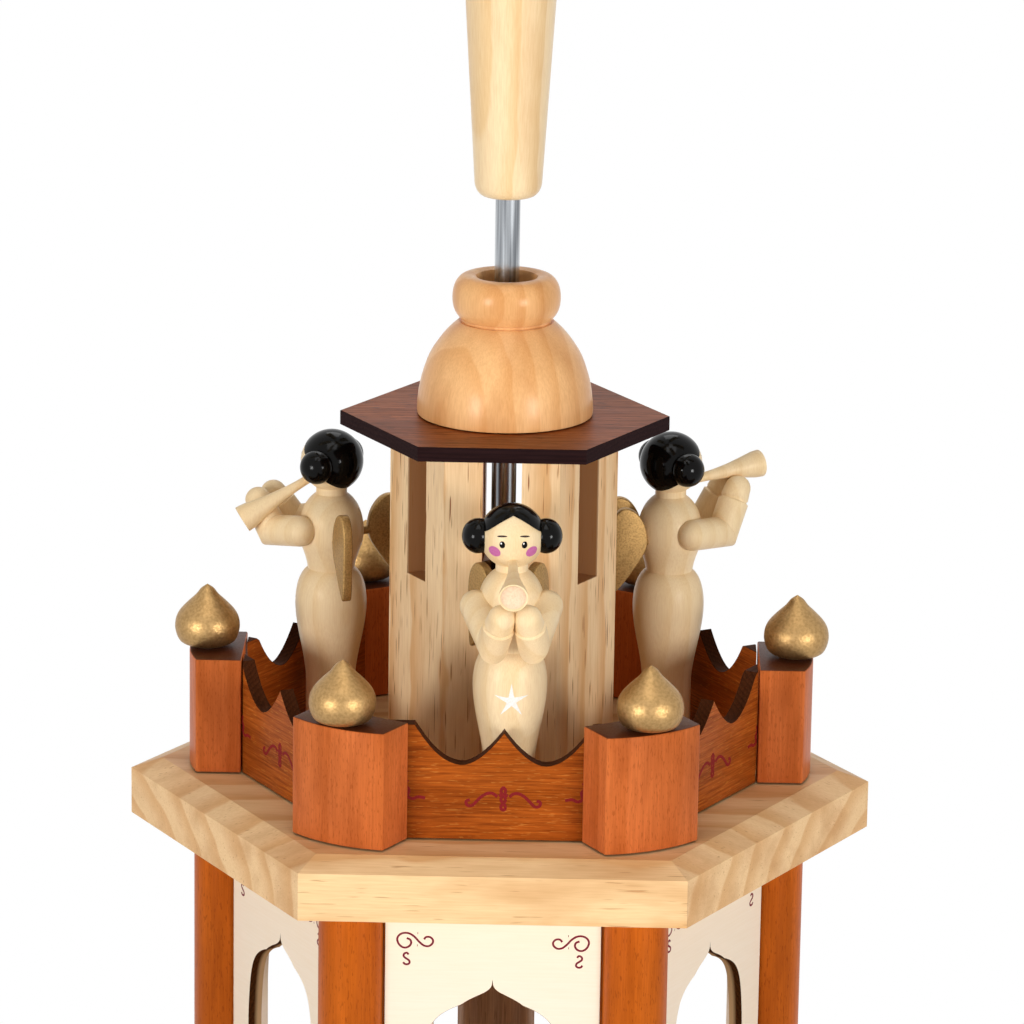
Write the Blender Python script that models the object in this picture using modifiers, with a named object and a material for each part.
"""A wooden candle carousel on a hexagonal plan.

Six candles on the base board warm the air under a wind wheel. The wheel, its steel shaft and the
turntable in the arcade turn together on a point in a small bearing cup. Above the arcade stands a
deck with a parapet, a slotted tower and three trumpeting figures.

Metres, +Z up, origin at the middle of the base board's underside. The flat side of the hexagon
faces -Y, so the corners lie at 0, 60, 120 ... degrees from +X.
"""

import math
from typing import NamedTuple

import bmesh
import bpy
from mathutils import Matrix, Vector

# Plan
SIDES = 6
SIDE_STEP = 2.0 * math.pi / SIDES
HALF_STEP = SIDE_STEP / 2.0
SEAT_GAP = 0.0003
OVERRUN = 0.002
WELD_DISTANCE = 0.00001
SHARP_ANGLE = math.radians(38.0)

# Base board
BASE_RADIUS = 0.120
BASE_THICK = 0.014
BASE_BEVEL_IN = 0.0064
BASE_BEVEL_DOWN = 0.0023

# Candle cups, pressed from sheet brass
CUP_INSET = 0.0160
CANDLE_RADIUS = 0.007
CANDLE_PLAY = 0.0003
CUP_WALL = 0.0008
CUP_DEPTH = 0.0140
CUP_LIP = 0.0007
DISH_RADIUS = 0.0125
DISH_RISE = 0.0028
CUP_SEGMENTS = 16

# Bearing cup and shaft
BEARING_RADIUS = 0.005
BEARING_HEIGHT = 0.0060
BEARING_SUNK = 0.0040
DIMPLE_RADIUS = 0.0030
DIMPLE_DEPTH = 0.0026
SHAFT_RADIUS = 0.0025
SHAFT_POINT = 0.0040
SHAFT_SEGMENTS = 16

# Turntable with its spindle sleeve
TABLE_PLAY = 0.0074
TABLE_THICK = 0.0045
TABLE_LIFT = 0.0090
TABLE_EDGE = 0.0009
BOSS_RADIUS = 0.0110
BOSS_DROP = 0.0030
SPINDLE_RADIUS = 0.0080
SPINDLE_PLAY = 0.0090
SPINDLE_BEAD = 0.0016
SPINDLE_BEAD_HEIGHT = 0.0036
TABLE_SEGMENTS = 30

# Arcade: columns at the corners, an arch panel in every side
COLUMN_RADIUS = 0.0065
COLUMN_LENGTH = 0.100
COLUMN_SEGMENTS = 24
PANEL_THICK = 0.0030
ARCH_APEX_DROP = 0.0172
ARCH_LEG = 0.00705
ARCH_CUSP_RUN = 0.0062
ARCH_CUSP_FALL = 0.0049
ARCH_SHOULDER_FALL = 0.0220
ARCH_SHOULDER_BOW = 0.0007
ARCH_RISE_STEPS = 5
ARCH_SHOULDER_STEPS = 7

# Deck, as wide as what stands on it needs
DECK_THICK = 0.0120
DECK_BEVEL_IN = 0.0064
DECK_BEVEL_DOWN = 0.0023
CORNER_INSET = 0.0195
PASSAGE_RADIUS = 0.0050

# Parapet: faceted posts with onion finials, crowned rail panels
POST_HEIGHT = 0.0240
POST_HALF_WIDTH = 0.0106
POST_INNER = 0.0080
POST_SHOULDER = 0.0060
POST_OUTER = 0.0095
POST_FLAT_HALF = 0.0044
POST_EDGE = 0.0004
FINIAL_RADIUS = 0.00665
FINIAL_HEIGHT = 0.0128
FINIAL_OUTWARD = 0.0038
FINIAL_SEGMENTS = 14
RAIL_THICK = 0.0030
RAIL_END_HEIGHT = 0.0235
RAIL_PEAK_HEIGHT = 0.0221
RAIL_DIP_HEIGHT = 0.0154
RAIL_DIP_PLACE = 0.0081
RAIL_CROWN_POWER = 1.7
RAIL_CURVE_STEPS = 6

# Tower with three crossing slots
TOWER_RADIUS = 0.0231
TOWER_HEIGHT = 0.0709
SLOT_WIDTH = 0.0078
SLOT_DEPTH = 0.0288

# Roof plate, dome and collar
ROOF_OVERHANG = 0.0103
ROOF_THICK = 0.0030
DOME_RADIUS = 0.01785
DOME_HEIGHT = 0.0190
COLLAR_RADIUS = 0.01095
COLLAR_HEIGHT = 0.0095
COLLAR_BORE = 0.0059
SEAM_DEPTH = 0.0006
SEAM_HEIGHT = 0.0005
DOME_SEGMENTS = 26

# Wind wheel
HUB_CLEAR = 0.0152
HUB_END_RADIUS = 0.0052
HUB_END_ROUND = 0.0028
HUB_LOW_RADIUS = 0.0068
HUB_HIGH_RADIUS = 0.0104
HUB_CONE = 0.0600
BARREL_RADIUS = 0.0160
BARREL_HEIGHT = 0.0180
BARREL_EDGE = 0.0016
COVE_HEIGHT = 0.0050
KNOB_RADIUS = 0.0085
KNOB_HEIGHT = 0.0190
HUB_SEGMENTS = 24
HUB_BORE_DEPTH = 0.0500
BLADE_PITCH = math.radians(35.0)
STEM_RADIUS = 0.0025
STEM_IN_HUB = 0.0080
STEM_ON_BLADE = 0.0300
STEM_SEGMENTS = 12
STEM_TIP_SHARE = 0.45
BLADE_START = 0.0400
BLADE_END = 0.1400
BLADE_ROOT_WIDTH = 0.0300
BLADE_TIP_WIDTH = 0.0480
BLADE_THICK = 0.0018
BLADE_CORNER = 0.0050
BLADE_CORNER_STEPS = 3

# Trumpeting figures on the deck, their heights measured from one turned bead to the next
FIGURE_RAIL_GAP = 0.0005
FIGURE_TOWER_GAP = 0.004525
FIGURE_FOOT_RADIUS = 0.0051
FIGURE_FOOT_HEIGHT = 0.0120
FIGURE_SKIRT_RADIUS = 0.0074
FIGURE_SKIRT_RISE = 0.0170
FIGURE_WAIST_RADIUS = 0.00485
FIGURE_WAIST_RISE = 0.0075
FIGURE_CHEST_RADIUS = 0.0067
FIGURE_CHEST_RISE = 0.0077
FIGURE_NECK_RADIUS = 0.0032
FIGURE_NECK_RISE = 0.0082
FIGURE_NECK_LENGTH = 0.00135
HEAD_RADIUS = 0.0064
HEAD_STEPS = 7
BUN_RADIUS = 0.0035
BUN_PROUD = 0.0003
FIGURE_SEGMENTS = 16
FIGURE_CURVE_STEPS = 3
FIGURE_CHEST_STEPS = 4
SHOULDER_FORWARD = 0.0013
SHOULDER_PROUD = 0.0003
SHOULDER_ABOVE_CHEST = 0.0011
ARM_RADIUS = 0.0032
UPPER_ARM_LENGTH = 0.0095
UPPER_ARM_INWARD = math.radians(17.0)
FOREARM_LENGTH = 0.0098
HAND_RADIUS = 0.0027
HAND_LENGTH = 0.0050
ARM_SEGMENTS = 8
TRUMPET_LENGTH = 0.0175
TRUMPET_DROP = 0.0042
TRUMPET_SUNK = 0.0008
TRUMPET_MOUTH_RADIUS = 0.0009
TRUMPET_BELL_RADIUS = 0.00285
TRUMPET_BELL_HOLLOW = 0.0012
TRUMPET_SEGMENTS = 12
WING_WIDTH = 0.0079
WING_TALL = 0.0176
WING_THICK = 0.0020
WING_BELOW_WAIST = 0.0032
WING_STAND_OFF = 0.0004
WING_PEG_RADIUS = 0.0009
WING_PEG_IN_WING = 0.0015
WING_PEG_DROP = 0.0006
WING_ROOT_BACK = 0.0015


class FigurePose(NamedTuple):
    """How a trumpeting figure was put together by hand: angles in degrees, and shares of its sizes."""

    azimuth: float
    trumpet_droop: float
    trumpet_swing: float
    upper_drop: float
    fore_lift: float
    fore_inward: float
    shoulder_share: float
    upper_share: float
    fore_share: float
    wing_splay: float
    wing_turn: float
    wing_spread_share: float


FIGURE_POSES = {
    "front": FigurePose(273.5, 8.5, -2.0, 25.0, 52.0, 11.0, 1.0, 1.20, 1.12, 33.0, 0.0, 0.0),
    "right": FigurePose(30.0, -6.0, 0.0, 5.5, 62.0, 20.0, 1.0, 1.0, 1.25, 0.0, -22.0, 0.67),
    "left": FigurePose(155.0, 30.0, 40.0, 9.0, 52.0, 18.0, 2.8, 0.85, 1.0, 44.0, 0.0, 0.45),
}

# Turned outlines as shares of radius and height, from the top down
FINIAL_PROFILE_SHARES = (
    (0.0, 1.0), (0.19, 0.94), (0.36, 0.82), (0.62, 0.69), (0.86, 0.55), (0.98, 0.41), (0.985, 0.24),
    (0.86, 0.08), (0.66, 0.0), (0.0, 0.0),
)
DOME_PROFILE_SHARES = (
    (0.54, 1.0), (0.655, 0.90), (0.755, 0.785), (0.865, 0.62), (0.947, 0.40), (0.985, 0.22),
    (1.0, 0.06), (1.0, 0.0),
)
COLLAR_PROFILE_SHARES = (
    (0.57, 0.965), (0.70, 1.0), (0.85, 0.95), (0.96, 0.78), (1.0, 0.52), (0.965, 0.26), (0.86, 0.07),
)
KNOB_PROFILE_SHARES = (
    (0.0, 1.0), (0.30, 0.955), (0.42, 0.84), (0.36, 0.70), (0.62, 0.62), (0.92, 0.50), (1.0, 0.36),
    (0.88, 0.20), (0.60, 0.08),
)
TRUMPET_PROFILE_SHARES = (
    (1.0, 1.0), (0.92, 0.90), (0.59, 0.72), (0.25, 0.50), (0.04, 0.25), (0.0, 0.0),
)
SHOULDER_ROUND_SHARES = ((0.45, 0.88), (0.80, 0.58), (0.97, 0.22))
HAND_ROUND_SHARES = ((0.80, 0.42), (0.30, 0.0))
WING_OUTLINE_SHARES = (
    (0.0, 0.62), (0.10, 0.82), (0.36, 0.97), (0.68, 1.0), (0.92, 0.88), (1.0, 0.68), (0.98, 0.40),
    (0.95, 0.12), (0.86, 0.0), (0.62, 0.10), (0.30, 0.30), (0.08, 0.46),
)

# Places that follow from the sizes above
CUP_RING_RADIUS = BASE_RADIUS - CUP_INSET
WING_REACH = FIGURE_CHEST_RADIUS + WING_STAND_OFF + WING_WIDTH
FIGURE_RING_RADIUS = TOWER_RADIUS * math.cos(HALF_STEP) + FIGURE_TOWER_GAP + WING_REACH
PANEL_DISTANCE = FIGURE_RING_RADIUS + FIGURE_SKIRT_RADIUS + FIGURE_RAIL_GAP + RAIL_THICK / 2.0
CORNER_RADIUS = PANEL_DISTANCE / math.cos(HALF_STEP)
DECK_RADIUS = CORNER_RADIUS + CORNER_INSET
TABLE_RADIUS = PANEL_DISTANCE - PANEL_THICK / 2.0 - TABLE_PLAY
ROOF_RADIUS = TOWER_RADIUS + ROOF_OVERHANG
RAIL_HALF_SPAN = CORNER_RADIUS * math.sin(HALF_STEP) - POST_HALF_WIDTH + OVERRUN
FIGURE_SKIRT_HEIGHT = FIGURE_FOOT_HEIGHT + FIGURE_SKIRT_RISE
FIGURE_WAIST_HEIGHT = FIGURE_SKIRT_HEIGHT + FIGURE_WAIST_RISE
FIGURE_CHEST_HEIGHT = FIGURE_WAIST_HEIGHT + FIGURE_CHEST_RISE
FIGURE_NECK_HEIGHT = FIGURE_CHEST_HEIGHT + FIGURE_NECK_RISE
HEAD_SEAT = math.sqrt(HEAD_RADIUS ** 2 - FIGURE_NECK_RADIUS ** 2)
HEAD_HEIGHT = FIGURE_NECK_HEIGHT + FIGURE_NECK_LENGTH + HEAD_SEAT
Z_BASE = BASE_THICK
Z_COLUMN = Z_BASE + SEAT_GAP
Z_DECK = Z_COLUMN + COLUMN_LENGTH + SEAT_GAP
Z_DECK_TOP = Z_DECK + DECK_THICK
Z_ON_DECK = Z_DECK_TOP + SEAT_GAP
Z_ROOF = Z_ON_DECK + TOWER_HEIGHT + SEAT_GAP
Z_DOME = Z_ROOF + ROOF_THICK + SEAT_GAP
Z_COLLAR = Z_DOME + DOME_HEIGHT
Z_HUB = Z_COLLAR + COLLAR_HEIGHT + HUB_CLEAR
Z_HUB_CONE_TOP = Z_HUB + HUB_END_ROUND + HUB_CONE
Z_BARREL = Z_HUB_CONE_TOP + COVE_HEIGHT
Z_BLADES = Z_BARREL + BARREL_HEIGHT / 2.0
Z_BEARING = Z_BASE - BEARING_SUNK
Z_DIMPLE = Z_BEARING + BEARING_HEIGHT - DIMPLE_DEPTH
Z_TABLE = Z_BASE + TABLE_LIFT
Z_TABLE_TOP = Z_TABLE + TABLE_THICK


def clear_scene() -> None:
    """Remove everything that the file starts with."""
    for item in list(bpy.data.objects):
        bpy.data.objects.remove(item, do_unlink=True)


def add_collection(name: str):
    """Make a collection in the scene."""
    group = bpy.data.collections.new(name)
    bpy.context.scene.collection.children.link(group)
    return group


clear_scene()
PARTS = add_collection("candle_carousel")
CUTTERS = add_collection("cutters")


def linear(channel: float) -> float:
    """Turn an sRGB channel into a linear one."""
    return channel / 12.92 if channel <= 0.04045 else ((channel + 0.055) / 1.055) ** 2.4


def make_material(name: str, hex_colour: str, roughness: float, metallic: float = 0.0):
    """Make a plain Principled material."""
    material = bpy.data.materials.new(name)
    material.use_nodes = True
    shader = material.node_tree.nodes["Principled BSDF"]
    channels = [linear(int(hex_colour[i:i + 2], 16) / 255.0) for i in (0, 2, 4)]
    shader.inputs["Base Color"].default_value = (*channels, 1.0)
    shader.inputs["Roughness"].default_value = roughness
    shader.inputs["Metallic"].default_value = metallic
    return material


def add_object(name: str, mesh, material, turn: float = 0.0, at=(0.0, 0.0, 0.0)):
    """Place a mesh as a sub-part, turned about +Z."""
    item = bpy.data.objects.new(name, mesh)
    item.location = at
    item.rotation_euler = (0.0, 0.0, turn)
    if material is not None and not mesh.materials:
        mesh.materials.append(material)
    PARTS.objects.link(item)
    return item


def add_cutter(name: str, mesh, matrix=None):
    """Place a mesh as a hidden tool for a Boolean."""
    item = bpy.data.objects.new(name, mesh)
    item.matrix_world = matrix if matrix is not None else Matrix.Identity(4)
    item.hide_render = True
    item.display_type = "WIRE"
    CUTTERS.objects.link(item)
    return item


def combine(target, tool, operation: str) -> None:
    """Cut a tool out of a sub-part, or join it on."""
    boolean = target.modifiers.new(tool.name, "BOOLEAN")
    boolean.operation = operation
    boolean.solver = "EXACT"
    boolean.object = tool


def bake(item, name: str):
    """Keep an object's evaluated mesh, welded, and remove the object."""
    bpy.context.view_layer.update()
    graph = bpy.context.evaluated_depsgraph_get()
    mesh = bpy.data.meshes.new_from_object(item.evaluated_get(graph))
    mesh.name = name
    data = item.data
    is_curve = item.type == "CURVE"
    bpy.data.objects.remove(item, do_unlink=True)
    if is_curve:
        bpy.data.curves.remove(data)
    tidy = bmesh.new()
    tidy.from_mesh(mesh)
    bmesh.ops.remove_doubles(tidy, verts=tidy.verts, dist=WELD_DISTANCE)
    tidy.to_mesh(mesh)
    tidy.free()
    mesh.update()
    return mesh


def smooth(mesh) -> None:
    """Shade a mesh smooth, but for its sharp edges."""
    mesh.shade_smooth()
    mesh.set_sharp_from_angle(angle=SHARP_ANGLE)


def turned(name: str, profile, segments: int, closed: bool = False):
    """Turn a profile of (radius, height) pairs, given from the top down its outer side."""
    mesh = bpy.data.meshes.new(name)
    edges = [(i, i + 1) for i in range(len(profile) - 1)]
    if closed:
        edges.append((len(profile) - 1, 0))
    mesh.from_pydata([(radius, 0.0, height) for radius, height in profile], edges, [])
    item = bpy.data.objects.new(name, mesh)
    CUTTERS.objects.link(item)
    screw = item.modifiers.new("turn", "SCREW")
    screw.axis = "Z"
    screw.angle = 2.0 * math.pi
    screw.steps = segments
    screw.render_steps = segments
    screw.use_merge_vertices = True
    screw.merge_threshold = WELD_DISTANCE
    result = bake(item, name)
    smooth(result)
    return result


def flat_outline(name: str, points, thick: float):
    """Fill an outline in the XY plane and give it a thickness, half to each side of the plane."""
    curve = bpy.data.curves.new(name, "CURVE")
    curve.dimensions = "2D"
    curve.fill_mode = "BOTH"
    curve.extrude = thick / 2.0
    spline = curve.splines.new("POLY")
    spline.points.add(len(points) - 1)
    for target, (x, y) in zip(spline.points, points):
        target.co = (x, y, 0.0, 1.0)
    spline.use_cyclic_u = True
    item = bpy.data.objects.new(name, curve)
    CUTTERS.objects.link(item)
    return bake(item, name)


def stand_up(mesh, distance: float, turn: float) -> None:
    """Stand an outline on its lower edge, facing +X at a distance, and turn it about +Z."""
    upright = Matrix(((0.0, 0.0, 1.0), (1.0, 0.0, 0.0), (0.0, 1.0, 0.0))).to_4x4()
    place = Matrix.Rotation(turn, 4, "Z") @ Matrix.Translation((distance, 0.0, 0.0))
    mesh.transform(place @ upright)


def rod(name: str, radius: float, length: float, segments: int):
    """A cylinder on +Z, standing on the origin."""
    shape = bmesh.new()
    bmesh.ops.create_cone(shape, cap_ends=True, segments=segments, radius1=radius, radius2=radius,
                          depth=length, matrix=Matrix.Translation((0.0, 0.0, length / 2.0)))
    mesh = bpy.data.meshes.new(name)
    shape.to_mesh(mesh)
    shape.free()
    smooth(mesh)
    return mesh


def block(name: str, size, centre):
    """A box of a given size about a centre."""
    shape = bmesh.new()
    place = Matrix.Translation(centre) @ Matrix.Diagonal((*size, 1.0))
    bmesh.ops.create_cube(shape, size=1.0, matrix=place)
    mesh = bpy.data.meshes.new(name)
    shape.to_mesh(mesh)
    shape.free()
    return mesh


def ball(name: str, radius: float, segments: int, centre):
    """A sphere about a centre, its poles towards -Y and +Y."""
    shape = bmesh.new()
    half_turn = Matrix.Rotation(math.pi / segments, 4, "Z")
    place = Matrix.Translation(centre) @ Matrix.Rotation(math.pi / 2.0, 4, "X") @ half_turn
    bmesh.ops.create_uvsphere(shape, u_segments=segments, v_segments=segments // 2, radius=radius,
                              matrix=place)
    mesh = bpy.data.meshes.new(name)
    shape.to_mesh(mesh)
    shape.free()
    smooth(mesh)
    return mesh


def hexagon_board(name: str, radius: float, thick: float, bevel_in=0.0, bevel_down=0.0):
    """A hexagonal board standing on the origin, its top edge bevelled."""
    shape = bmesh.new()
    straight = thick - bevel_down
    place = Matrix.Translation((0.0, 0.0, straight / 2.0)) @ Matrix.Rotation(HALF_STEP, 4, "Z")
    bmesh.ops.create_cone(shape, cap_ends=True, segments=SIDES, radius1=radius, radius2=radius,
                          depth=straight, matrix=place)
    if bevel_down:
        top = [face for face in shape.faces if face.normal.z > math.cos(HALF_STEP)]
        raised = bmesh.ops.extrude_discrete_faces(shape, faces=top)["faces"]
        verts = raised[0].verts[:]
        shrink = (radius - bevel_in) / radius
        bmesh.ops.translate(shape, verts=verts, vec=(0.0, 0.0, bevel_down))
        bmesh.ops.scale(shape, verts=verts, vec=(shrink, shrink, 1.0))
    mesh = bpy.data.meshes.new(name)
    shape.to_mesh(mesh)
    shape.free()
    return mesh


def bezier(start, first, second, end, count: int):
    """Points on a cubic curve, without its first one."""
    points = []
    for step in range(1, count + 1):
        t = step / count
        a, b, c, d = (1 - t) ** 3, 3 * t * (1 - t) ** 2, 3 * t * t * (1 - t), t ** 3
        points.append(tuple(a * p + b * q + c * r + d * s for p, q, r, s in zip(start, first, second, end)))
    return points


def scaled(shares, radius: float, height: float, foot: float = 0.0):
    """A profile of shares at its real size, its foot at a height."""
    return [(radius * across, foot + height * up) for across, up in shares]


# Finishes
PINE = make_material("pine_clear_lacquered", "EFD0A0", 0.42)
STAINED = make_material("stained_red_brown_wood", "B5561F", 0.30)
DARK_PLY = make_material("stained_plywood", "8E4517", 0.38)
BIRCH_PLY = make_material("pale_birch_plywood", "FBEBD3", 0.50)
MAPLE = make_material("pale_maple", "ECD7AC", 0.40)
WALNUT = make_material("walnut_stained_beech", "A45C33", 0.34)
HONEY = make_material("honey_lacquered_wood", "E0A868", 0.30)
GOLD = make_material("gold_paint", "B7944E", 0.38, 0.75)
BRASS = make_material("pressed_brass", "C9A24B", 0.28, 1.0)
STEEL = make_material("bright_steel", "C4C6C8", 0.18, 1.0)
GLASS = make_material("bearing_glass", "DDE6E4", 0.10)


def build_base() -> None:
    """The base board with its recess, and the bearing cup in it."""
    board = hexagon_board("base_board", BASE_RADIUS, BASE_THICK, BASE_BEVEL_IN, BASE_BEVEL_DOWN)
    base = add_object("base_board", board, PINE)
    recess = rod("base_recess", BEARING_RADIUS + SEAT_GAP, BEARING_SUNK + OVERRUN, SHAFT_SEGMENTS)
    place = Matrix.Translation((0.0, 0.0, Z_BEARING - SEAT_GAP))
    combine(base, add_cutter("base_recess", recess, place), "DIFFERENCE")
    top = Z_BEARING + BEARING_HEIGHT
    cup = turned("bearing_cup", [(0.0, Z_DIMPLE), (DIMPLE_RADIUS, top), (BEARING_RADIUS - SEAT_GAP, top),
                                 (BEARING_RADIUS, top - SEAT_GAP), (BEARING_RADIUS, Z_BEARING),
                                 (0.0, Z_BEARING)], SHAFT_SEGMENTS)
    add_object("bearing_cup", cup, GLASS)


def build_candle_cups() -> None:
    """A brass cup with a drip dish at every corner of the base board."""
    inner = CANDLE_RADIUS + CANDLE_PLAY
    outer = inner + CUP_WALL
    floor = Z_BASE + SEAT_GAP
    dish = floor + CUP_WALL
    rim = dish + CUP_DEPTH
    profile = [
        (0.0, dish), (inner, dish), (inner, rim), (outer + CUP_LIP, rim), (outer, rim - CUP_WALL),
        (outer, dish), (DISH_RADIUS - DISH_RISE, dish), (DISH_RADIUS, floor + DISH_RISE),
        (DISH_RADIUS - DISH_RISE + CUP_WALL, floor), (0.0, floor),
    ]
    mesh = turned("candle_cup", profile, CUP_SEGMENTS)
    for index in range(SIDES):
        turn = index * SIDE_STEP
        place = (CUP_RING_RADIUS * math.cos(turn), CUP_RING_RADIUS * math.sin(turn), 0.0)
        add_object(f"candle_cup_{index + 1}", mesh, BRASS, turn, place)


def build_rotor() -> None:
    """The shaft on its point, and the turntable with its spindle sleeve."""
    top = Z_HUB + HUB_BORE_DEPTH - SEAT_GAP
    point = Z_DIMPLE + SEAT_GAP
    rod_profile = [(0.0, top), (SHAFT_RADIUS, top), (SHAFT_RADIUS, point + SHAFT_POINT), (0.0, point)]
    add_object("shaft", turned("shaft", rod_profile, SHAFT_SEGMENTS), STEEL)
    bore = SHAFT_RADIUS + SEAT_GAP
    sleeve_top = Z_DECK - SPINDLE_PLAY
    neck = SPINDLE_RADIUS - SPINDLE_BEAD / 2.0
    bead = sleeve_top - SPINDLE_BEAD_HEIGHT
    foot = Z_TABLE_TOP + SPINDLE_BEAD_HEIGHT
    profile = [
        (bore, sleeve_top), (SPINDLE_RADIUS - SPINDLE_BEAD, sleeve_top),
        (SPINDLE_RADIUS, sleeve_top - SPINDLE_BEAD), (SPINDLE_RADIUS, bead), (neck, bead - SPINDLE_BEAD),
        (SPINDLE_RADIUS, bead - SPINDLE_BEAD_HEIGHT),
        (SPINDLE_RADIUS, foot + SPINDLE_BEAD), (SPINDLE_RADIUS + SPINDLE_BEAD, foot),
        (SPINDLE_RADIUS + SPINDLE_BEAD, Z_TABLE_TOP), (TABLE_RADIUS - TABLE_EDGE, Z_TABLE_TOP),
        (TABLE_RADIUS, Z_TABLE_TOP - TABLE_EDGE), (TABLE_RADIUS, Z_TABLE + TABLE_EDGE),
        (TABLE_RADIUS - TABLE_EDGE, Z_TABLE), (BOSS_RADIUS, Z_TABLE), (BOSS_RADIUS, Z_TABLE - BOSS_DROP),
        (bore, Z_TABLE - BOSS_DROP),
    ]
    add_object("turntable", turned("turntable", profile, TABLE_SEGMENTS, closed=True), WALNUT)


def arch_outline():
    """The arch panel's outline: legs on the base board, an ogee arch between them."""
    half = CORNER_RADIUS * math.sin(HALF_STEP) - COLUMN_RADIUS - SEAT_GAP
    inner = half - ARCH_LEG
    apex = COLUMN_LENGTH - ARCH_APEX_DROP
    cusp = (ARCH_CUSP_RUN, apex - ARCH_CUSP_FALL)
    spring = (inner, apex - ARCH_SHOULDER_FALL)
    slope = (ARCH_CUSP_RUN, ARCH_CUSP_FALL / 2.0)
    rise = bezier((0.0, apex), (0.0, apex - slope[1]), (cusp[0] - slope[0] / 2.0, cusp[1] + slope[1]), cusp,
                  ARCH_RISE_STEPS)
    shoulder = bezier(cusp, (cusp[0] + slope[0], cusp[1] - slope[1]),
                      (inner - ARCH_SHOULDER_BOW, cusp[1] - ARCH_CUSP_FALL), spring, ARCH_SHOULDER_STEPS)
    right = rise + shoulder + [(inner, 0.0)]
    left = [(-x, y) for x, y in reversed(right)]
    outside = [(half, 0.0), (half, COLUMN_LENGTH), (-half, COLUMN_LENGTH), (-half, 0.0)]
    return outside + left + [(0.0, apex)] + right


def build_arcade() -> None:
    """Six round columns and six arch panels under the deck."""
    column = rod("column", COLUMN_RADIUS, COLUMN_LENGTH, COLUMN_SEGMENTS)
    panel = flat_outline("arch_panel", arch_outline(), PANEL_THICK)
    stand_up(panel, PANEL_DISTANCE, HALF_STEP)
    for index in range(SIDES):
        turn = index * SIDE_STEP
        place = (CORNER_RADIUS * math.cos(turn), CORNER_RADIUS * math.sin(turn), Z_COLUMN)
        add_object(f"column_{index + 1}", column, STAINED, turn, place)
        add_object(f"arch_panel_{index + 1}", panel, BIRCH_PLY, turn, (0.0, 0.0, Z_COLUMN))


def build_deck() -> None:
    """The deck board, open at its middle for the shaft."""
    board = hexagon_board("deck", DECK_RADIUS, DECK_THICK, DECK_BEVEL_IN, DECK_BEVEL_DOWN)
    deck = add_object("deck", board, PINE, at=(0.0, 0.0, Z_DECK))
    hole = rod("deck_passage", PASSAGE_RADIUS, DECK_THICK + 2.0 * OVERRUN, SHAFT_SEGMENTS)
    place = Matrix.Translation((0.0, 0.0, Z_DECK - OVERRUN))
    combine(deck, add_cutter("deck_passage", hole, place), "DIFFERENCE")


def post_outline(grow: float = 0.0):
    """The post's faceted plan, with +X outwards, grown by a clearance."""
    side = POST_HALF_WIDTH + grow
    right = [(-POST_INNER - grow, side), (POST_SHOULDER, side), (POST_OUTER + grow, POST_FLAT_HALF)]
    return [(x, -y) for x, y in right] + list(reversed(right))


def post_mesh(name: str, grow: float = 0.0, edge: float = 0.0):
    """A post standing on the origin."""
    height = POST_HEIGHT + 2.0 * grow
    mesh = flat_outline(name, post_outline(grow), height)
    mesh.transform(Matrix.Translation((0.0, 0.0, POST_HEIGHT / 2.0)))
    if edge:
        shape = bmesh.new()
        shape.from_mesh(mesh)
        sharp = [item for item in shape.edges if item.calc_face_angle(0.0) > HALF_STEP / 2.0]
        bmesh.ops.bevel(shape, geom=sharp, offset=edge, segments=1, profile=0.5, affect="EDGES",
                        material=-1)
        shape.to_mesh(mesh)
        shape.free()
    return mesh


def rail_outline():
    """The rail panel's outline: a pointed crown between two dips, rising to the posts."""
    shares = [step / RAIL_CURVE_STEPS for step in range(1, RAIL_CURVE_STEPS + 1)]
    crown = RAIL_PEAK_HEIGHT - RAIL_DIP_HEIGHT
    horn = RAIL_END_HEIGHT - RAIL_DIP_HEIGHT
    reach = RAIL_HALF_SPAN - RAIL_DIP_PLACE
    half = [(0.0, RAIL_PEAK_HEIGHT)]
    half += [(RAIL_DIP_PLACE * share, RAIL_DIP_HEIGHT + crown * (1.0 - share) ** RAIL_CROWN_POWER)
             for share in shares]
    half += [(RAIL_DIP_PLACE + reach * share, RAIL_DIP_HEIGHT + horn * share ** 2) for share in shares]
    left = [(-x, y) for x, y in half[1:]]
    return [(-RAIL_HALF_SPAN, 0.0), (RAIL_HALF_SPAN, 0.0)] + list(reversed(half)) + left


def rail_mesh():
    """A rail panel, its ends mitred to the posts on both sides."""
    panel = flat_outline("rail_panel", rail_outline(), RAIL_THICK)
    stand_up(panel, PANEL_DISTANCE, HALF_STEP)
    blank = bpy.data.objects.new("rail_blank", panel)
    CUTTERS.objects.link(blank)
    grown = post_mesh("post_clearance", grow=SEAT_GAP)
    for index in range(2):
        turn = index * SIDE_STEP
        place = Matrix.Rotation(turn, 4, "Z") @ Matrix.Translation((CORNER_RADIUS, 0.0, 0.0))
        combine(blank, add_cutter(f"rail_mitre_{index + 1}", grown, place), "DIFFERENCE")
    return bake(blank, "rail_panel")


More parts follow.
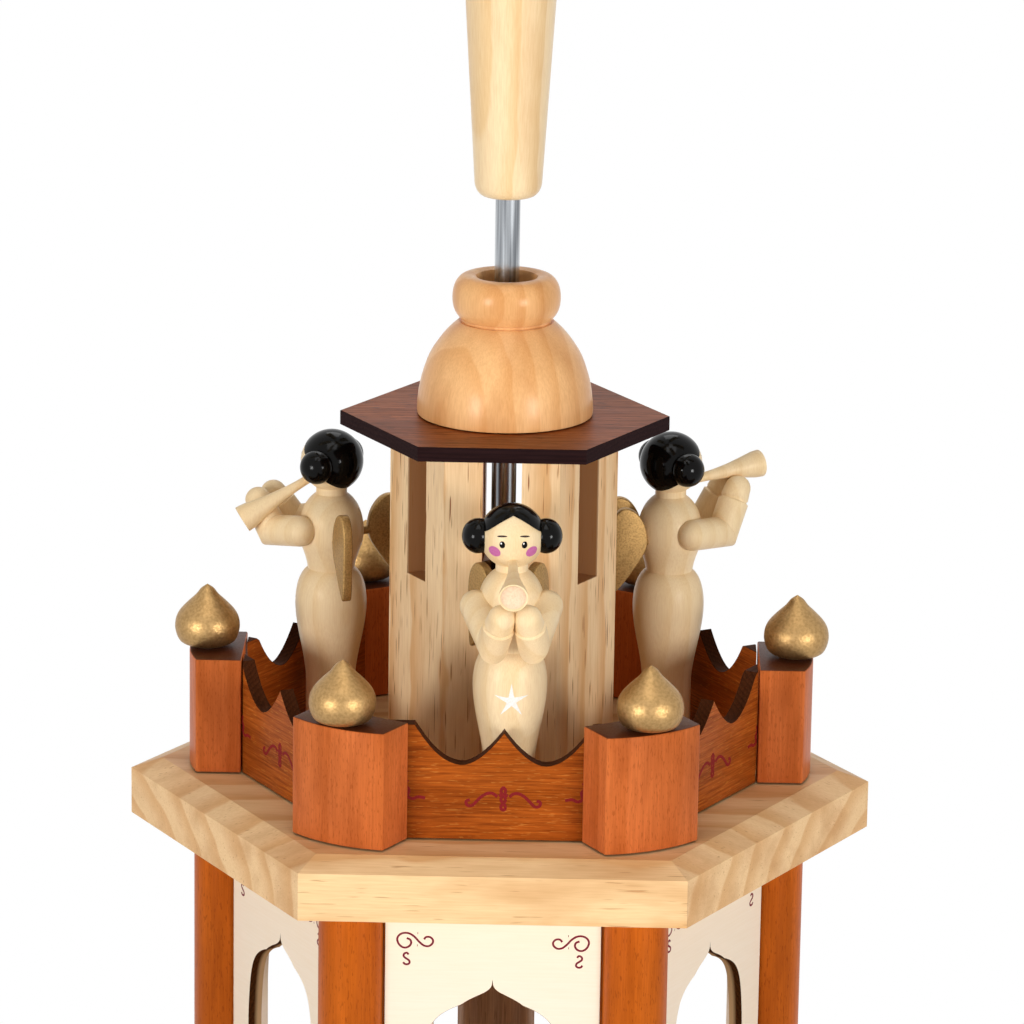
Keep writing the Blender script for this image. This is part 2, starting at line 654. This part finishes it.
def build_parapet() -> None:
    """Posts with gilded finials at the corners, and a rail panel in every side."""
    post = post_mesh("post", edge=POST_EDGE)
    finial = turned("finial", scaled(FINIAL_PROFILE_SHARES, FINIAL_RADIUS, FINIAL_HEIGHT), FINIAL_SEGMENTS)
    rail = rail_mesh()
    for index in range(SIDES):
        turn = index * SIDE_STEP
        outward = Vector((math.cos(turn), math.sin(turn), 0.0))
        corner = outward * CORNER_RADIUS + Vector((0.0, 0.0, Z_ON_DECK))
        seat = outward * FINIAL_OUTWARD + Vector((0.0, 0.0, POST_HEIGHT + SEAT_GAP))
        add_object(f"post_{index + 1}", post, STAINED, turn, corner)
        add_object(f"finial_{index + 1}", finial, GOLD, turn, corner + seat)
        add_object(f"rail_panel_{index + 1}", rail, DARK_PLY, turn, (0.0, 0.0, Z_ON_DECK))


def build_tower() -> None:
    """The hexagonal tower, slotted crosswise from its top and bored for the shaft."""
    board = hexagon_board("tower", TOWER_RADIUS, TOWER_HEIGHT)
    tower = add_object("tower", board, PINE, at=(0.0, 0.0, Z_ON_DECK))
    slot = block("tower_slot", (2.0 * TOWER_RADIUS + OVERRUN, SLOT_WIDTH, SLOT_DEPTH + OVERRUN),
                 (0.0, 0.0, (OVERRUN - SLOT_DEPTH) / 2.0))
    top = Matrix.Translation((0.0, 0.0, Z_ON_DECK + TOWER_HEIGHT))
    for index in range(SIDES // 2):
        place = top @ Matrix.Rotation(HALF_STEP + index * SIDE_STEP, 4, "Z")
        combine(tower, add_cutter(f"tower_slot_{index + 1}", slot, place), "DIFFERENCE")
    bore = rod("tower_bore", PASSAGE_RADIUS, TOWER_HEIGHT + 2.0 * OVERRUN, SHAFT_SEGMENTS)
    place = Matrix.Translation((0.0, 0.0, Z_ON_DECK - OVERRUN))
    combine(tower, add_cutter("tower_bore", bore, place), "DIFFERENCE")


def build_roof() -> None:
    """The roof plate, and the dome with its collar."""
    board = hexagon_board("roof_plate", ROOF_RADIUS, ROOF_THICK)
    roof = add_object("roof_plate", board, DARK_PLY, at=(0.0, 0.0, Z_ROOF))
    hole = rod("roof_passage", COLLAR_BORE, ROOF_THICK + 2.0 * OVERRUN, SHAFT_SEGMENTS)
    place = Matrix.Translation((0.0, 0.0, Z_ROOF - OVERRUN))
    combine(roof, add_cutter("roof_passage", hole, place), "DIFFERENCE")
    collar = scaled(COLLAR_PROFILE_SHARES, COLLAR_RADIUS, COLLAR_HEIGHT, Z_COLLAR)
    dome = scaled(DOME_PROFILE_SHARES, DOME_RADIUS, DOME_HEIGHT, Z_DOME)
    seam_radius = dome[0][0] - SEAM_DEPTH
    seam = [(seam_radius, Z_COLLAR + SEAM_HEIGHT), (seam_radius, Z_COLLAR)]
    profile = [(COLLAR_BORE, collar[0][1] - SEAM_HEIGHT)] + collar + seam + dome + [(COLLAR_BORE, Z_DOME)]
    add_object("dome", turned("dome", profile, DOME_SEGMENTS, closed=True), HONEY)


def hub_profile():
    """The hub from its top knob down over the barrel and the long cone to its rounded end."""
    barrel_top = Z_BARREL + BARREL_HEIGHT
    knob = scaled(KNOB_PROFILE_SHARES, KNOB_RADIUS, KNOB_HEIGHT, barrel_top)
    cone_foot = Z_HUB + HUB_END_ROUND
    bore = SHAFT_RADIUS + SEAT_GAP
    bore_top = Z_HUB + HUB_BORE_DEPTH
    return knob + [
        (KNOB_RADIUS - BARREL_EDGE, barrel_top), (BARREL_RADIUS - BARREL_EDGE, barrel_top),
        (BARREL_RADIUS, barrel_top - BARREL_EDGE), (BARREL_RADIUS, Z_BARREL + BARREL_EDGE),
        (BARREL_RADIUS - BARREL_EDGE, Z_BARREL),
        (HUB_HIGH_RADIUS + BARREL_EDGE, Z_HUB_CONE_TOP + COVE_HEIGHT / 2.0),
        (HUB_HIGH_RADIUS, Z_HUB_CONE_TOP), (HUB_LOW_RADIUS, cone_foot),
        ((HUB_LOW_RADIUS + HUB_END_RADIUS) / 2.0, Z_HUB + HUB_END_ROUND / 4.0), (HUB_END_RADIUS, Z_HUB),
        (bore, Z_HUB), (bore, bore_top), (0.0, bore_top),
    ]


def blade_outline():
    """The blade's outline, wider at its tip, with rounded tip corners."""
    root, tip = BLADE_ROOT_WIDTH / 2.0, BLADE_TIP_WIDTH / 2.0
    corner = BLADE_END - BLADE_CORNER
    side = [(BLADE_START, root - BLADE_CORNER / 2.0), (BLADE_START + BLADE_CORNER / 2.0, root), (corner, tip)]
    side += bezier((corner, tip), (BLADE_END - BLADE_CORNER / 2.0, tip),
                   (BLADE_END, tip - BLADE_CORNER / 2.0), (BLADE_END, tip - BLADE_CORNER), BLADE_CORNER_STEPS)
    return side + [(x, -y) for x, y in reversed(side)]


def build_wheel() -> None:
    """The hub with its stem holes, and six blades that turn in them."""
    hub = add_object("hub", turned("hub", hub_profile(), HUB_SEGMENTS), HONEY)
    stem_start = BARREL_RADIUS - STEM_IN_HUB
    hole = rod("stem_hole", STEM_RADIUS + SEAT_GAP, STEM_IN_HUB + OVERRUN, STEM_SEGMENTS)
    hole.transform(Matrix.Rotation(math.pi / 2.0, 4, "Y"))
    plate = flat_outline("blade", blade_outline(), BLADE_THICK)
    stem_end = BLADE_START + STEM_ON_BLADE
    tip_radius = STEM_RADIUS * STEM_TIP_SHARE
    profile = [(0.0, stem_end), (tip_radius, stem_end), (STEM_RADIUS, BLADE_START),
               (STEM_RADIUS, stem_start + SEAT_GAP), (0.0, stem_start + SEAT_GAP)]
    stem = turned("stem", profile, STEM_SEGMENTS)
    stem.transform(Matrix.Rotation(math.pi / 2.0, 4, "Y"))
    blank = bpy.data.objects.new("blade_blank", plate)
    CUTTERS.objects.link(blank)
    combine(blank, add_cutter("blade_stem", stem), "UNION")
    blade = bake(blank, "blade")
    for index in range(SIDES):
        turn = index * SIDE_STEP
        place = Matrix.Rotation(turn, 4, "Z") @ Matrix.Translation((stem_start, 0.0, Z_BLADES))
        combine(hub, add_cutter(f"stem_hole_{index + 1}", hole, place), "DIFFERENCE")
        pivot = bpy.data.objects.new(f"blade_axis_{index + 1}", None)
        pivot.location = (0.0, 0.0, Z_BLADES)
        pivot.rotation_euler = (0.0, 0.0, turn)
        PARTS.objects.link(pivot)
        item = add_object(f"blade_{index + 1}", blade, MAPLE)
        item.parent = pivot
        item.rotation_euler = (BLADE_PITCH, 0.0, 0.0)


def figure_profile():
    """The turned figure from its round head down over neck, chest and waist to its skirt."""
    neck_angle = math.pi - math.asin(FIGURE_NECK_RADIUS / HEAD_RADIUS)
    angles = [neck_angle * step / HEAD_STEPS for step in range(HEAD_STEPS + 1)]
    head = [(HEAD_RADIUS * math.sin(angle), HEAD_HEIGHT + HEAD_RADIUS * math.cos(angle)) for angle in angles]
    neck = (FIGURE_NECK_RADIUS, FIGURE_NECK_HEIGHT)
    chest = (FIGURE_CHEST_RADIUS, FIGURE_CHEST_HEIGHT)
    waist = (FIGURE_WAIST_RADIUS, FIGURE_WAIST_HEIGHT)
    skirt = (FIGURE_SKIRT_RADIUS, FIGURE_SKIRT_HEIGHT)
    foot = (FIGURE_FOOT_RADIUS, FIGURE_FOOT_HEIGHT)
    bulge = skirt[0] - waist[0]
    drop = skirt[1] - foot[1]
    profile = head + [neck]
    profile += bezier(neck, (neck[0] + bulge, neck[1] - drop / 10.0), (chest[0], chest[1] + drop / 5.0),
                      chest, FIGURE_CHEST_STEPS)
    profile += bezier(chest, (chest[0], chest[1] - drop / 6.0),
                      (waist[0] + bulge / 6.0, waist[1] + drop / 5.0), waist, FIGURE_CURVE_STEPS)
    profile += bezier(waist, (waist[0] + bulge * 2.0 / 3.0, waist[1] - drop / 15.0),
                      (skirt[0], skirt[1] + drop / 5.0), skirt, FIGURE_CURVE_STEPS)
    profile += bezier(skirt, (skirt[0], skirt[1] - drop / 3.0), (foot[0], foot[1] + drop / 3.0), foot,
                      FIGURE_CURVE_STEPS)
    return profile + [(foot[0], 0.0), (0.0, 0.0)]


def heading(lift: float, swing: float):
    """A direction forwards, lifted above the level and swung to the figure's left."""
    return Vector((math.cos(lift) * math.cos(swing), math.cos(lift) * math.sin(swing), math.sin(lift)))


def arm_mesh(side: float, pose: FigurePose):
    """An arm: a rounded upper arm mitred to a forearm, which ends in a rounded hand."""
    upper = heading(-math.radians(pose.upper_drop), -side * UPPER_ARM_INWARD)
    fore = heading(math.radians(pose.fore_lift), -side * math.radians(pose.fore_inward))
    out = FIGURE_CHEST_RADIUS + SHOULDER_PROUD
    forward = SHOULDER_FORWARD * pose.shoulder_share
    shoulder = Vector((forward, side * out, FIGURE_CHEST_HEIGHT + SHOULDER_ABOVE_CHEST))
    elbow = shoulder + upper * UPPER_ARM_LENGTH * pose.upper_share
    hand = elbow + fore * FOREARM_LENGTH * pose.fore_share
    mitre = (upper + fore).normalized()
    shape = bmesh.new()
    aim = upper.to_track_quat("Z", "Y").to_matrix().to_4x4()
    verts = bmesh.ops.create_circle(shape, cap_ends=True, segments=ARM_SEGMENTS, radius=ARM_RADIUS,
                                    matrix=Matrix.Translation(shoulder) @ aim)["verts"]
    ring = shape.edges[:]
    first = verts[:]

    def extend(run, normal, stop, shrink=1.0):
        """Extrude the last ring along a run to the plane through a point, and shrink it there."""
        nonlocal verts, ring
        grown = bmesh.ops.extrude_edge_only(shape, edges=ring)["geom"]
        verts = [item for item in grown if isinstance(item, bmesh.types.BMVert)]
        ring = [item for item in grown if isinstance(item, bmesh.types.BMEdge)
                and all(vert in verts for vert in item.verts)]
        for vert in verts:
            vert.co += run * ((stop - vert.co).dot(normal) / run.dot(normal))
            vert.co = stop + (vert.co - stop) * shrink

    extend(upper, mitre, elbow)
    extend(fore, fore, hand - fore * HAND_LENGTH)
    extend(fore, fore, hand - fore * HAND_RADIUS, HAND_RADIUS / ARM_RADIUS)
    extend(fore, fore, hand - fore * HAND_RADIUS * HAND_ROUND_SHARES[0][1], HAND_ROUND_SHARES[0][0])
    extend(fore, fore, hand, HAND_ROUND_SHARES[1][0] / HAND_ROUND_SHARES[0][0])
    bmesh.ops.contextual_create(shape, geom=ring)
    bottom = [face for face in shape.faces if all(vert in first for vert in face.verts)]
    for reach, wide in SHOULDER_ROUND_SHARES:
        bottom = bmesh.ops.extrude_discrete_faces(shape, faces=bottom)["faces"]
        centre = shoulder - upper * ARM_RADIUS * reach
        for vert in bottom[0].verts:
            out = (vert.co - bottom[0].calc_center_median()).normalized()
            vert.co = centre + out * ARM_RADIUS * wide
    bmesh.ops.recalc_face_normals(shape, faces=shape.faces)
    mesh = bpy.data.meshes.new("arm")
    shape.to_mesh(mesh)
    shape.free()
    smooth(mesh)
    return mesh


def trumpet_mesh(pose: FigurePose, grow: float = 0.0):
    """A trumpet with a hollow bell, from the figure's mouth outwards, grown by a clearance."""
    spread = TRUMPET_BELL_RADIUS - TRUMPET_MOUTH_RADIUS
    profile = [(TRUMPET_MOUTH_RADIUS + spread * wide + grow, TRUMPET_LENGTH * along)
               for wide, along in TRUMPET_PROFILE_SHARES]
    profile[0] = (profile[0][0], profile[0][1] + grow)
    hollow = 0.0 if grow else TRUMPET_BELL_HOLLOW
    rim = [(0.0, profile[0][1] - hollow)]
    if hollow:
        rim.append((profile[0][0] - hollow / 2.0, profile[0][1]))
    profile[-1] = (profile[-1][0], -grow)
    mesh = turned("trumpet", rim + profile + [(0.0, -grow)], TRUMPET_SEGMENTS)
    run = heading(-math.radians(pose.trumpet_droop), math.radians(pose.trumpet_swing))
    lips = Vector((math.sqrt(HEAD_RADIUS ** 2 - TRUMPET_DROP ** 2), 0.0, HEAD_HEIGHT - TRUMPET_DROP))
    mouth = lips - run * TRUMPET_SUNK
    mesh.transform(Matrix.Translation(mouth) @ run.to_track_quat("Z", "Y").to_matrix().to_4x4())
    return mesh


def wing_pair(place, pose: FigurePose, label: str):
    """Two wings with their pegs, as one mesh standing behind the figure."""
    splay = math.radians(pose.wing_splay)
    turn = Matrix.Rotation(math.radians(pose.wing_turn), 4, "Z")
    spread = FIGURE_CHEST_RADIUS * pose.wing_spread_share
    back = FIGURE_CHEST_RADIUS - WING_ROOT_BACK - math.sqrt(FIGURE_CHEST_RADIUS ** 2 - spread ** 2)
    outline = scaled(WING_OUTLINE_SHARES, WING_WIDTH, WING_TALL, FIGURE_WAIST_HEIGHT - WING_BELOW_WAIST)
    peg_height = FIGURE_CHEST_HEIGHT - WING_PEG_DROP
    level = Matrix.Rotation(math.pi / 2.0, 4, "Y")
    plate = flat_outline("wing", outline, WING_THICK)
    inner = FIGURE_CHEST_RADIUS - WING_ROOT_BACK + WING_STAND_OFF
    plate.transform(Matrix.Translation((inner, 0.0, 0.0)) @ Matrix.Rotation(math.pi / 2.0, 4, "X"))
    pieces = []
    holes = []
    surface = FIGURE_CHEST_RADIUS + WING_STAND_OFF
    for side, start in ((1.0, WING_PEG_RADIUS), (-1.0, 0.0)):
        root = turn @ Matrix.Translation((back, side * spread, 0.0))
        lean = root @ Matrix.Rotation(math.pi - side * splay, 4, "Z")
        seat = lean @ Vector((inner + WING_PEG_IN_WING, 0.0, 0.0))
        aim = place @ Matrix.Rotation(math.atan2(seat.y, seat.x), 4, "Z")
        peg = rod("wing_peg", WING_PEG_RADIUS, start + seat.length, ARM_SEGMENTS)
        peg.transform(Matrix.Translation((-start, 0.0, peg_height)) @ level)
        deep = start + SEAT_GAP
        hole = rod("wing_peg_hole", WING_PEG_RADIUS + SEAT_GAP, deep + surface + OVERRUN, ARM_SEGMENTS)
        hole.transform(Matrix.Translation((-deep, 0.0, peg_height)) @ level)
        pieces += [(plate, place @ lean), (peg, aim)]
        holes.append(add_cutter(f"wing_peg_hole_{label}_{len(holes) + 1}", hole, aim))
    mesh, aim = pieces[0]
    blank = bpy.data.objects.new(f"wing_blank_{label}", mesh.copy())
    blank.matrix_world = aim
    CUTTERS.objects.link(blank)
    for index, (mesh, matrix) in enumerate(pieces[1:]):
        combine(blank, add_cutter(f"wing_piece_{label}_{index + 1}", mesh, matrix), "UNION")
    home = blank.matrix_world.copy()
    pair = bake(blank, f"wings_{label}")
    pair.transform(place.inverted() @ home)
    return pair, holes


def build_figures() -> None:
    """Three trumpeting figures with gilded wings, facing outwards on the deck."""
    body = turned("figure_body", figure_profile(), FIGURE_SEGMENTS)
    stand = Matrix.Translation((FIGURE_RING_RADIUS, 0.0, Z_ON_DECK))
    bun_out = HEAD_RADIUS + BUN_PROUD
    for label, pose in FIGURE_POSES.items():
        place = Matrix.Rotation(math.radians(pose.azimuth), 4, "Z") @ stand
        figure = add_object(f"angel_{label}", body.copy(), MAPLE)
        figure.matrix_world = place
        for side in (1.0, -1.0):
            bun = ball("bun", BUN_RADIUS, ARM_SEGMENTS, (0.0, side * bun_out, HEAD_HEIGHT))
            arm = arm_mesh(side, pose)
            combine(figure, add_cutter(f"bun_{label}_{side:.0f}", bun, place), "UNION")
            combine(figure, add_cutter(f"arm_{label}_{side:.0f}", arm, place), "UNION")
        trumpet = add_object(f"trumpet_{label}", trumpet_mesh(pose), MAPLE)
        trumpet.matrix_world = place
        clearance = trumpet_mesh(pose, SEAT_GAP)
        combine(figure, add_cutter(f"trumpet_clearance_{label}", clearance, place), "DIFFERENCE")
        pair, holes = wing_pair(place, pose, label)
        wings = add_object(f"wings_{label}", pair, GOLD)
        wings.matrix_world = place
        for hole in holes:
            combine(figure, hole, "DIFFERENCE")


build_base()
build_candle_cups()
build_rotor()
build_arcade()
build_deck()
build_parapet()
build_tower()
build_roof()
build_wheel()
build_figures()
